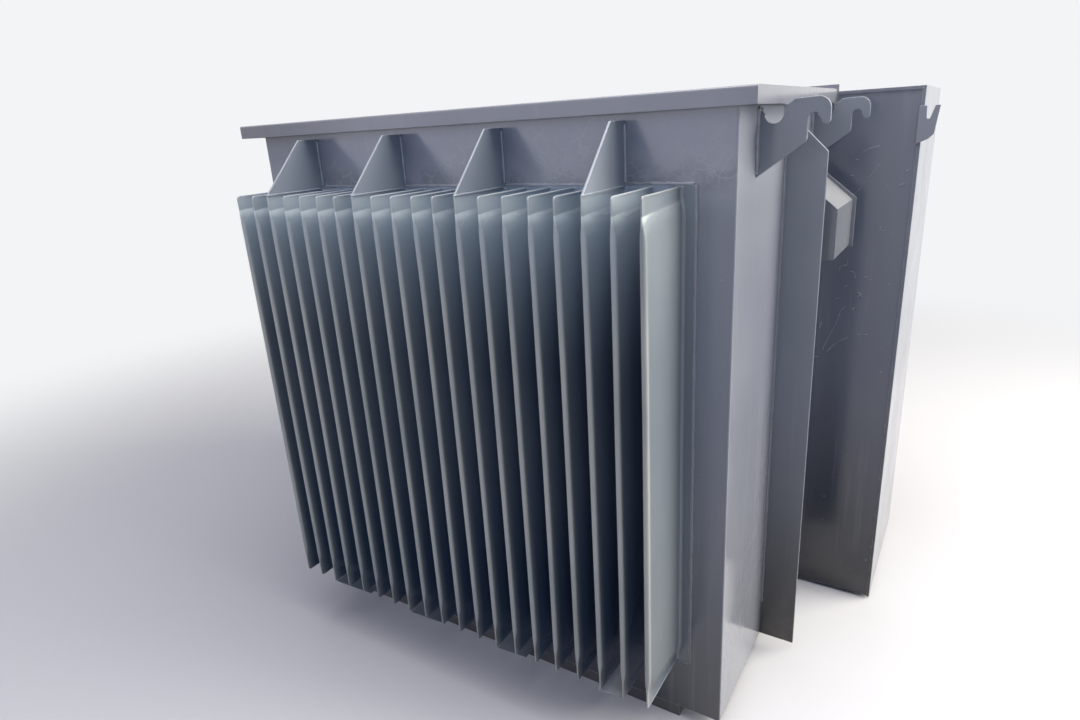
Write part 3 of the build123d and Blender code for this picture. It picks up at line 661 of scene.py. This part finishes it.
def facing_out(rings):
    """The rings in the order round each that makes the enclosed volume, summed over fans of every face, positive."""
    turned = np.roll(rings, -1, axis=1)
    centre = rings.reshape(-1, 3).mean(axis=0)
    a, b, c, d = (part - centre for part in (rings[:-1], turned[:-1], turned[1:], rings[1:]))
    volume = np.sum(a * np.cross(b, c)) + np.sum(a * np.cross(c, d))
    for sign, end in ((-1, rings[0] - centre), (1, rings[-1] - centre)):
        volume += sign * np.sum(end[:1] * np.cross(end, np.roll(end, -1, axis=0)))
    return rings[:, ::-1] if volume < 0 else rings


def make_skins(name, skins, finish, nodes=(), crease=PLATE_CREASE, weighted=False):
    """One mesh of closed skins.

    Each skin is an array of rings (ring, place round it, xyz): neighbours span four-sided faces, every ring closes
    on itself, and the two end rings are closed by one flat face each.
    """
    points, corners, sizes, start = [], [], [], 0
    for rings in skins:
        rings = facing_out(np.asarray(rings, dtype=float))
        rows, columns = rings.shape[:2]
        index = np.arange(rows * columns).reshape(rows, columns) + start
        lower, upper = index[:-1], index[1:]
        quads = np.stack([lower, np.roll(lower, -1, axis=1), np.roll(upper, -1, axis=1), upper], axis=-1)
        corners += [quads.ravel(), index[0, ::-1], index[-1]]
        sizes += [np.full(quads.size // 4, 4), np.full(2, columns)]
        points.append(rings.reshape(-1, 3))
        start += rows * columns
    points, corners, sizes = (np.concatenate(part) for part in (points, corners, sizes))
    mesh = bpy.data.meshes.new(name)
    mesh.vertices.add(len(points))
    mesh.vertices.foreach_set("co", points.astype(np.float32).ravel())
    mesh.loops.add(len(corners))
    mesh.loops.foreach_set("vertex_index", corners.astype(np.int32))
    mesh.polygons.add(len(sizes))
    mesh.polygons.foreach_set("loop_start", np.concatenate([[0], np.cumsum(sizes)[:-1]]).astype(np.int32))
    mesh.update(calc_edges=True)
    mesh.validate()
    mesh.materials.append(finish)
    mesh.shade_smooth()
    mesh.set_sharp_from_angle(angle=math.radians(crease))
    piece = link_object(name, mesh)
    if weighted:
        level = piece.modifiers.new("flat_faces", "WEIGHTED_NORMAL")
        level.keep_sharp = True
    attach(piece, "root")
    if nodes:
        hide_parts(*nodes)


def make_welds(name, skins, finish):
    make_skins(name, skins, finish, crease=WELD_CREASE)


def rounded(corners):
    """Closed outline through corners (u, v, radius): each corner becomes an arc tangent to both its sides."""
    corners = np.array(corners, dtype=float)
    points = []
    for before, here, after in zip(np.roll(corners, 1, axis=0), corners, np.roll(corners, -1, axis=0)):
        corner, radius = here[:2], here[2]
        if radius <= 0:
            points.append(corner[None])
            continue
        back = (before[:2] - corner) / np.linalg.norm(before[:2] - corner)
        ahead = (after[:2] - corner) / np.linalg.norm(after[:2] - corner)
        half = math.acos(float(np.clip(back @ ahead, -1, 1))) / 2
        centre = corner + (back + ahead) / np.linalg.norm(back + ahead) * radius / math.sin(half)
        start = corner + back * radius / math.tan(half) - centre
        end = corner + ahead * radius / math.tan(half) - centre
        sweep = math.pi - 2 * half
        steps = max(2, int(math.degrees(sweep) / 11))
        t = np.linspace(0, 1, steps + 1)[:, None]
        points.append(centre + (start * np.sin((1 - t) * sweep) + end * np.sin(t * sweep)) / math.sin(sweep))
    outline = np.concatenate(points)
    gap = np.linalg.norm(outline - np.roll(outline, 1, axis=0), axis=1)
    return outline[gap > 1e-6]


def inset(outline, distance):
    """The outline moved inwards: every point goes along the mitre of its two sides' normals."""
    side = np.roll(outline, -1, axis=0) - outline
    side /= np.linalg.norm(side, axis=1, keepdims=True)
    ahead = np.roll(outline, -1, axis=0)
    area = np.sum(outline[:, 0] * ahead[:, 1] - outline[:, 1] * ahead[:, 0])
    inward = np.stack([-side[:, 1], side[:, 0]], axis=1) * np.sign(area)
    before = np.roll(inward, 1, axis=0)
    mitre = (inward + before) / (1 + np.sum(inward * before, axis=1, keepdims=True))
    return outline + mitre * distance


def cut_plate(outline, across, along, through, origin, low, high, edge):
    """Rings of a flat plate: its outline carried through the thickness, drawn in on a quarter circle at both faces."""
    turn = np.linspace(0, math.pi / 2, 5)
    draw = np.concatenate([edge * (1 - np.sin(turn)), edge * (1 - np.cos(turn))])
    level = np.concatenate([low + edge * (1 - np.cos(turn)), high - edge * (1 - np.sin(turn))])
    across, along, through, origin = (np.asarray(v, dtype=float) for v in (across, along, through, origin))
    rings = []
    for distance, z in zip(draw, level):
        drawn = inset(outline, distance)
        rings.append(drawn[:, :1] * across + drawn[:, 1:] * along + z * through + origin)
    return np.stack(rings)


def bead(start, end, wall_a, wall_b, legs):
    """Rings of a fillet weld along a straight corner.

    Section: a bulging quarter ellipse from one leg along the first wall to the other along the second, closed through
    the corner. Its size swells once every second ring, wanders slowly with the distance run, and tapers at the ends.
    """
    start, end, wall_a, wall_b = (np.asarray(v, dtype=float) for v in (start, end, wall_a, wall_b))
    length = np.linalg.norm(end - start)
    count = max(4, int(length / WELD_STEP))
    run = np.linspace(0, length, count)
    phase, drift = noise_source.uniform(0, 6.28, 2)
    ripple = 0.07 * np.where(np.arange(count) % 2, 1, -1)
    size = 1 + ripple + 0.10 * np.sin(run * 61 + phase) + 0.07 * np.sin(run * 173 + drift)
    ends = np.clip(np.minimum(run, length - run) / WELD_TAPER, 0, 1)
    size = size * np.sqrt(0.06 + 0.94 * ends * (2 - ends))
    turn = np.linspace(0, math.pi / 2, 5)
    a = np.concatenate([[WELD_BEHIND], legs[0] * np.cos(turn) ** 0.85])
    b = np.concatenate([[WELD_BEHIND], legs[1] * np.sin(turn) ** 0.85])
    offset = a[:, None] * wall_a + b[:, None] * wall_b
    axis = start + (end - start) * (run / length)[:, None]
    return axis[:, None, :] + size[:, None, None] * offset[None]


def strand(points, radius, sides=5):
    """Rings of a thin thread through a few points, smoothed by a cubic through them all."""
    points = np.asarray(points, dtype=float)
    key = np.linspace(0, 1, len(points))
    t = np.linspace(0, 1, 9 * (len(points) - 1) + 1)
    weights = np.polyfit(key, points, min(3, len(points) - 1))
    line = np.stack([np.polyval(weights[:, k], t) for k in range(3)], axis=1)
    ahead = np.gradient(line, axis=0)
    ahead /= np.linalg.norm(ahead, axis=1, keepdims=True)
    side = np.cross(ahead, BACK)
    side /= np.linalg.norm(side, axis=1, keepdims=True)
    other = np.cross(ahead, side)
    turn = np.linspace(0, 2 * math.pi, sides, endpoint=False)[None, :, None]
    thin = radius * (0.6 + 0.5 * np.abs(np.sin(t * 9)))[:, None, None]
    return line[:, None] + thin * (np.cos(turn) * side[:, None] + np.sin(turn) * other[:, None])


def with_mirrored(rings):
    """The rings, and the same on the other end of the tank."""
    return [rings, rings * np.array([-1.0, 1.0, 1.0])]


# ---------------------------------------------------------------- fin wall

def fin_rows(corner):
    """Levels of a fin from its bottom weld to its top weld.

    Every row is (height at the root, height at the nose, half thickness, how far the nose stops short, how far the
    swell stays back from the nose, half thickness of the nose). The half thickness is a small weld bulge at the
    edge, the flat seam, then a quarter wave up to the full section, and the crease between seam and swell slopes,
    so the seam is wider at the nose. The nose stops short on a circle of the corner's radius. The swell's edge
    towards the nose starts PILLOW_BACK behind it at the crease and comes forward to it, nearly straight, over
    PILLOW_DOWN of height; along it the nose opens from the seam to the full thickness.
    """
    weld_fall = np.array(WELD_FALL) * MM
    weld_half = np.array(WELD_HALF) * MM
    rise = np.linspace(0, 1, 9)
    swell_half = SEAM_HALF + (FIN_HALF - SEAM_HALF) * np.sin(rise * math.pi / 2) ** 0.9
    root = np.concatenate([weld_fall, SEAM_AT_ROOT + SWELL_HEIGHT * rise])
    nose = np.concatenate([weld_fall, SEAM_AT_NOSE + SWELL_HEIGHT * rise])
    half = np.concatenate([weld_half, swell_half])
    short = corner - np.sqrt(np.clip(corner ** 2 - np.clip(corner - nose, 0, None) ** 2, 0, None))
    between = 0.5 - 0.5 * np.cos(np.linspace(0, math.pi, 30)[1:-1])
    span = FIN_TOP - FIN_BOTTOM
    root_up = FIN_BOTTOM + np.concatenate([root, root[-1] + (span - 2 * root[-1]) * between, span - root[::-1]])
    nose_up = FIN_BOTTOM + np.concatenate([nose, nose[-1] + (span - 2 * nose[-1]) * between, span - nose[::-1]])
    half_up = np.concatenate([half, np.full(len(between), FIN_HALF), half[::-1]])
    short_up = np.concatenate([short, np.zeros(len(between)), short[::-1]])
    from_crease = np.clip(np.minimum(nose_up - FIN_BOTTOM, FIN_TOP - nose_up) - SEAM_AT_NOSE, 0, None)
    back_up = PILLOW_BACK * (1 - np.clip(from_crease / PILLOW_DOWN, 0, 1)) ** 1.2
    opened = np.clip(from_crease / PILLOW_DOWN - 0.05, 0, 1)
    opened = opened * opened * (3 - 2 * opened)
    nose_half_up = np.minimum(half_up, SEAM_HALF) + np.clip(half_up - SEAM_HALF, 0, None) * opened
    return root_up, nose_up, half_up, short_up, back_up, nose_half_up


def fin_skin(number):
    """Rings of one fin.

    In plan a ring runs out along one side from a concave root fillet, falls on a quarter cosine to the nose's
    thickness at the swell's edge, and comes back round the half-circle nose. Its height goes straight from the
    root's to the nose's level with the depth. The sides are dished a little between the edges, and the whole fin
    leans and wanders sideways with the height, growing with the depth.
    """
    corner = GUSSET_FIN_CORNER if number in GUSSET_FINS else FIN_CORNER
    root, nose, half, short, back, nose_half = (row[:, None] for row in fin_rows(corner))
    ones = np.ones((len(root), 1))
    fillet = ROOT_FILLET * (1 - np.cos(np.linspace(0, math.pi / 2, 5)))[None, :] * ones
    depth_limit = FIN_DEPTH - short - nose_half
    swell_end = depth_limit - back
    fall_start = swell_end - PILLOW_FALL
    flat = ROOT_FILLET + (fall_start - ROOT_FILLET) * np.linspace(0, 1, 6)[None, 1:]
    fall_share = np.linspace(0, 1, 9)[None, 1:] * ones
    falling = fall_start + PILLOW_FALL * fall_share
    seam = swell_end + back * np.array([[0.5, 1.0]])
    side_depth = np.concatenate([fillet, flat, falling, seam], axis=1)
    closed = np.concatenate([0 * fillet, 0 * flat, 1 - np.cos(fall_share * math.pi / 2), ones, ones], axis=1)
    swing = ROOT_FILLET - np.sqrt(np.clip(ROOT_FILLET ** 2 - np.clip(ROOT_FILLET - side_depth, 0, None) ** 2, 0, None))
    dish = 0.0005 * np.sin(np.clip(side_depth / FIN_DEPTH, 0, 1) * math.pi) * (half / FIN_HALF)
    side_out = half - (half - nose_half) * closed + swing - dish * (1 - closed)
    turn = np.linspace(0, math.pi / 2, 6)[None, 1:]
    depth = np.concatenate([side_depth, depth_limit + nose_half * np.sin(turn)], axis=1)
    out = np.concatenate([side_out, nose_half * np.cos(turn)], axis=1)
    inside = np.full((len(root), 1), -ROOT_OVERLAP)
    depth = np.concatenate([inside, depth, depth[:, -2::-1], inside], axis=1)
    out = np.concatenate([out[:, :1], out, -out[:, -2::-1], -out[:, :1]], axis=1)
    share = np.clip(depth / FIN_DEPTH, 0, 1)
    up = root + (nose - root) * share
    level = (up - FIN_BOTTOM) / (FIN_TOP - FIN_BOTTOM)
    lean, bow, wave, phase, pull = noise_source.normal(0, 1, 5)
    aside = (0.9 * lean * (level - 0.5) + (0.9 * bow + FIN_BOWS.get(number, 0.0)) * np.sin(math.pi * level)
             + 0.35 * wave * np.sin(3 * math.pi * level + phase))
    if number == PUSHED_FIN:
        aside = aside + np.interp(level, PUSHED_LEVELS, PUSHED_ASIDE)
    drawn_in = MM * 0.5 * (1 + np.tanh(pull)) * share * np.sin(math.pi * level) ** 2
    x = FIRST_FIN_X + FIN_PITCH * (number - 1) + out + MM * share ** 1.4 * aside
    y = PANEL_FACE_Y - depth + drawn_in
    return np.stack([x, y, up], axis=-1)


def make_fin_wall(finish):
    """Fins and the sheet that they are pressed from."""
    sheet = rounded([(x, z, PANEL_CORNER) for x, z in (
        (PANEL_LEFT, PANEL_LOW), (PANEL_RIGHT, PANEL_LOW), (PANEL_RIGHT, PANEL_HIGH), (PANEL_LEFT, PANEL_HIGH))])
    skins = [cut_plate(sheet, RIGHT, UP, BACK, (0, 0, 0), PANEL_FACE_Y, WALL_Y, PANEL_EDGE)]
    make_skins("fin_backing_sheet", skins, finish, weighted=True)
    fins = [fin_skin(number) for number in range(1, FIN_COUNT + 1)]
    make_skins("pressed_fins", fins, finish, ("front_fin_panel",), FIN_CREASE, weighted=True)


def make_panel_bead(finish):
    """Weld that runs round the backing sheet, wider than it is high."""
    low_left, high_left = (PANEL_LEFT, WALL_Y, PANEL_LOW), (PANEL_LEFT, WALL_Y, PANEL_HIGH)
    low_right, high_right = (PANEL_RIGHT, WALL_Y, PANEL_LOW), (PANEL_RIGHT, WALL_Y, PANEL_HIGH)
    sides = ((low_left, high_left, LEFT), (low_right, high_right, RIGHT),
             (low_left, low_right, DOWN), (high_left, high_right, UP))
    skins = [bead(start, end, out, FORWARD, SHEET_WELD) for start, end, out in sides]
    make_welds("fin_sheet_weld", skins, finish)


# ---------------------------------------------------------------- plates

def gusset_outline(end_z, fin_z, sheet_z):
    """Side view of a gusset, y and z: a land at the wall, then a 45 degree edge to the fin's outer corner."""
    return np.array([(WALL_Y, end_z), (WALL_Y - GUSSET_LAND, end_z), (GUSSET_TIP_Y, fin_z),
                     (PANEL_FACE_Y, fin_z), (WALL_Y, sheet_z)])


def make_gussets(finish):
    outlines = {"top": gusset_outline(GUSSET_TOP, FIN_TOP, PANEL_HIGH),
                "bottom": gusset_outline(GUSSET_LOW, FIN_BOTTOM, PANEL_LOW)}
    for word, outline in outlines.items():
        skins = [cut_plate(outline, BACK, UP, RIGHT, (x, 0, 0), -GUSSET_HALF, GUSSET_HALF, GUSSET_EDGE)
                 for x in GUSSET_X]
        nodes = [f"{word}_gusset_{k + 1}" for k in range(len(GUSSET_X))]
        make_skins(f"{word}_gussets", skins, finish, nodes, weighted=True)


def make_gusset_beads(finish):
    """Welds both sides of each gusset, up the wall and out along the fin's seam, each a little short of the corners."""
    wall_runs = ((PANEL_HIGH + 0.004, GUSSET_TOP - 0.003), (GUSSET_LOW + 0.004, PANEL_LOW - 0.004))
    seam_start, seam_end = PANEL_FACE_Y - 0.0045, GUSSET_TIP_Y + 0.0015
    skins = []
    for x in GUSSET_X:
        for side, out in ((-1, LEFT), (1, RIGHT)):
            edge = x + side * GUSSET_HALF
            skins += [bead((edge, WALL_Y, low), (edge, WALL_Y, high), out, FORWARD, GUSSET_WELD)
                      for low, high in wall_runs]
            skins += [bead((edge, seam_start, z), (edge, seam_end, z), out, away, SEAM_WELD)
                      for z, away in ((FIN_TOP, UP), (FIN_BOTTOM, DOWN))]
    make_welds("gusset_welds", skins, finish)


def make_lugs(finish):
    face = rounded([(u, -v, radius) for u, v, radius in LUG_CORNERS]) * MM
    skins, nodes = [], []
    for word, y in LUG_Y.items():
        skins += with_mirrored(cut_plate(face, RIGHT, UP, BACK, (TANK_HALF, y, LID_TOP), -LUG_HALF, LUG_HALF, LUG_EDGE))
        nodes += [f"right_{word}_lifting_lug", f"left_{word}_lifting_lug"]
    make_skins("lifting_lugs", skins, finish, nodes, weighted=True)


def upright_beads(y, half, runs, legs):
    """Welds up both faces of a plate that stands out from either end of the tank."""
    skins = []
    for (side, out), (low, high) in zip(((-1, FORWARD), (1, BACK)), runs):
        edge = y + side * half
        skins += with_mirrored(bead((TANK_HALF, edge, low), (TANK_HALF, edge, high), out, RIGHT, legs))
    return skins


def make_lug_beads(finish):
    run = (LUG_LOW + 0.005, LID_LOW - 0.004)
    skins = [skin for y in LUG_Y.values() for skin in upright_beads(y, LUG_HALF, (run, run), LUG_WELD)]
    make_welds("lug_welds", skins, finish)


def make_side_plates(finish):
    outline = np.array([(0, SIDE_PLATE_LOW), (SIDE_PLATE_WIDTH, SIDE_PLATE_LOW),
                        (SIDE_PLATE_WIDTH, SIDE_PLATE_TOP - SIDE_PLATE_CUT),
                        (SIDE_PLATE_WIDTH - SIDE_PLATE_CUT, SIDE_PLATE_TOP), (0, SIDE_PLATE_TOP)])
    plate = cut_plate(outline, RIGHT, UP, BACK, (TANK_HALF, SIDE_PLATE_Y, 0),
                      -SIDE_PLATE_HALF, SIDE_PLATE_HALF, SIDE_PLATE_EDGE)
    make_skins("side_plates", with_mirrored(plate), finish,
               ("right_side_plate", "left_side_plate"), weighted=True)


def make_side_plate_beads(finish):
    """One long run up each face; the near one starts higher."""
    runs = [(start, SIDE_PLATE_TOP - 0.009) for start in SIDE_WELD_STARTS]
    skins = upright_beads(SIDE_PLATE_Y, SIDE_PLATE_HALF, runs, SIDE_PLATE_WELD)
    make_welds("side_plate_welds", skins, finish)


def make_hooks(finish):
    front, back = reach("right_cabinet_hook", "y")
    plate = cut_plate(rounded(HOOK_CORNERS) * MM, RIGHT, UP, BACK, (CABINET_HALF, 0, 0), front, back, HOOK_EDGE)
    make_skins("cabinet_hooks", with_mirrored(plate), finish,
               ("right_cabinet_hook", "left_cabinet_hook"), weighted=True)


def make_small_beads(finish):
    """Welds of the hood to the tank end and of the rails to the tank's floor."""
    (near, far), (low, high) = HOOD_WELD_Y, HOOD_WELD_Z
    skins = [bead((TANK_HALF, near, HOOD_LOW), (TANK_HALF, far, HOOD_LOW), DOWN, RIGHT, HOOD_WELD),
             bead((TANK_HALF, HOOD_NEAR_Y, low), (TANK_HALF, HOOD_NEAR_Y, high), FORWARD, RIGHT, HOOD_WELD)]
    for y, out in ((FRONT_RAIL_BACK_Y, BACK), (REAR_RAIL_FRONT_Y, FORWARD)):
        skins.append(bead((-RAIL_WELD_END, y, BASE_HEIGHT), (RAIL_WELD_END, y, BASE_HEIGHT), out, DOWN, RAIL_WELD))
    make_welds("hood_and_rail_welds", skins, finish)


def make_cobwebs(finish):
    """Dusty threads and tufts of old cobweb just off the cabinet's face."""
    skins = [strand([(x * MM, WEB_FACE_Y, z * MM) for x, z in places], radius * MM) for radius, *places in WEB_LINES]
    make_skins("cobweb_threads", skins, finish, crease=THREAD_CREASE)


# ---------------------------------------------------------------- assembly

add_camera()
set_world()
add_floor()
for name, settings in LAMPS.items():
    add_lamp(name, *settings)

# Tank: painted light near the top, painted shade towards the foot, and a broad painted highlight with chalky wear on
# the edges and corners
tank_finish = enamel(
    "tank_enamel", (0.184, 0.196, 0.236), (0.217, 0.230, 0.266), mud=0.18, shade_low=0.28, edge=0.004, edge_wear_and_highlight=0.75,
    edge_wear_and_highlight_paint=(0.52, 0.50, 0.48), lit_top=dict(low=1.24, high=1.36, paint=(0.28, 0.29, 0.33), on_sides=0.4),
    webs=(1.30, 1.46))
# Fins: painted light near the top, painted shade between them and low down, and pale dust on faces tilted up that is
# also a painted highlight along the creases
fin_finish = enamel(
    "fin_enamel", (0.155, 0.180, 0.205), (0.188, 0.212, 0.232), gloss=0.20, waves=0.0008, streaks=0.0, specks=0.0,
    up_dust_and_sheen=0.8, up_from=0.06, up_to=0.45, mud=0.15, shade_low=0.62,
    lit_top=dict(low=0.92, high=1.30, paint=(0.38, 0.435, 0.465), on_sides=1.0, end=0.55), gaps=True)
lid_finish = enamel("lid_enamel", (0.165, 0.172, 0.200), (0.195, 0.202, 0.228), gloss=0.20, up_dust_and_sheen=0.45)
cabinet_finish = enamel(
    "cabinet_enamel", (0.130, 0.142, 0.180), (0.160, 0.172, 0.210), specks=0.8, mud=0.30, splash_top=0.38,
    shade_low=0.20, edge=0.0025, edge_wear_and_highlight=0.85, edge_wear_and_highlight_paint=(0.50, 0.50, 0.49))
# Plates: strong painted shade towards the foot
plate_finish = enamel(
    "plate_enamel", (0.185, 0.200, 0.235), (0.215, 0.230, 0.262), gloss=0.20, waves=0.0005, specks=0.0,
    shade_low=0.08, edge=0.0019, edge_wear_and_highlight=0.85)
# Hood: a darker copy of the plate enamel, painted shade
shaded_hood_finish = enamel(
    "hood_enamel_shaded", (0.150, 0.160, 0.182), (0.178, 0.186, 0.205), gloss=0.20, waves=0.0005, specks=0.0, up_dust_and_sheen=0.50,
    edge=0.0019, edge_wear_and_highlight=0.85)
# Gussets: a lighter copy of the plate enamel, painted light, with a strong painted highlight on the edges
lit_gusset_finish = enamel(
    "gusset_enamel_lit", (0.255, 0.288, 0.326), (0.293, 0.326, 0.364), gloss=0.20, waves=0.0005, specks=0.0,
    edge=0.0022, edge_wear_and_highlight=1.0, edge_wear_and_highlight_paint=(0.66, 0.68, 0.68))
base_finish = enamel("base_enamel", (0.085, 0.090, 0.095), (0.110, 0.113, 0.115), gloss=0.45, splash_top=0.10)
hinge_finish = enamel("hinge_enamel", (0.15, 0.166, 0.185), (0.18, 0.192, 0.210), gloss=0.28, waves=0.0002)
handle_finish = steel("handle_steel", (0.50, 0.49, 0.47), 0.30)
web_finish = thread("cobweb")

FINISH_OF_SLOT = {
    "tank_enamel": tank_finish, "fin_enamel": fin_finish, "lid_enamel": lid_finish, "cabinet_enamel": cabinet_finish,
    "plate_enamel": plate_finish, "base_enamel": base_finish, "hinge_steel": hinge_finish,
    "handle_steel": handle_finish,
}
SLOT_OF_NODE = {part["node"]: part["material_slot"] for part in frame["record"]["subparts"]}
for name, node in frame["nodes"].items():
    for slot in node.material_slots:
        slot.material = shaded_hood_finish if name == "wiring_hood" else FINISH_OF_SLOT[SLOT_OF_NODE[name]]

make_fin_wall(fin_finish)
make_panel_bead(tank_finish)
make_gussets(lit_gusset_finish)
make_gusset_beads(lit_gusset_finish)
make_lugs(plate_finish)
make_lug_beads(plate_finish)
make_side_plates(plate_finish)
make_side_plate_beads(plate_finish)
make_hooks(plate_finish)
make_small_beads(base_finish)
make_cobwebs(web_finish)

bpy.context.scene.view_settings.view_transform = "Standard"
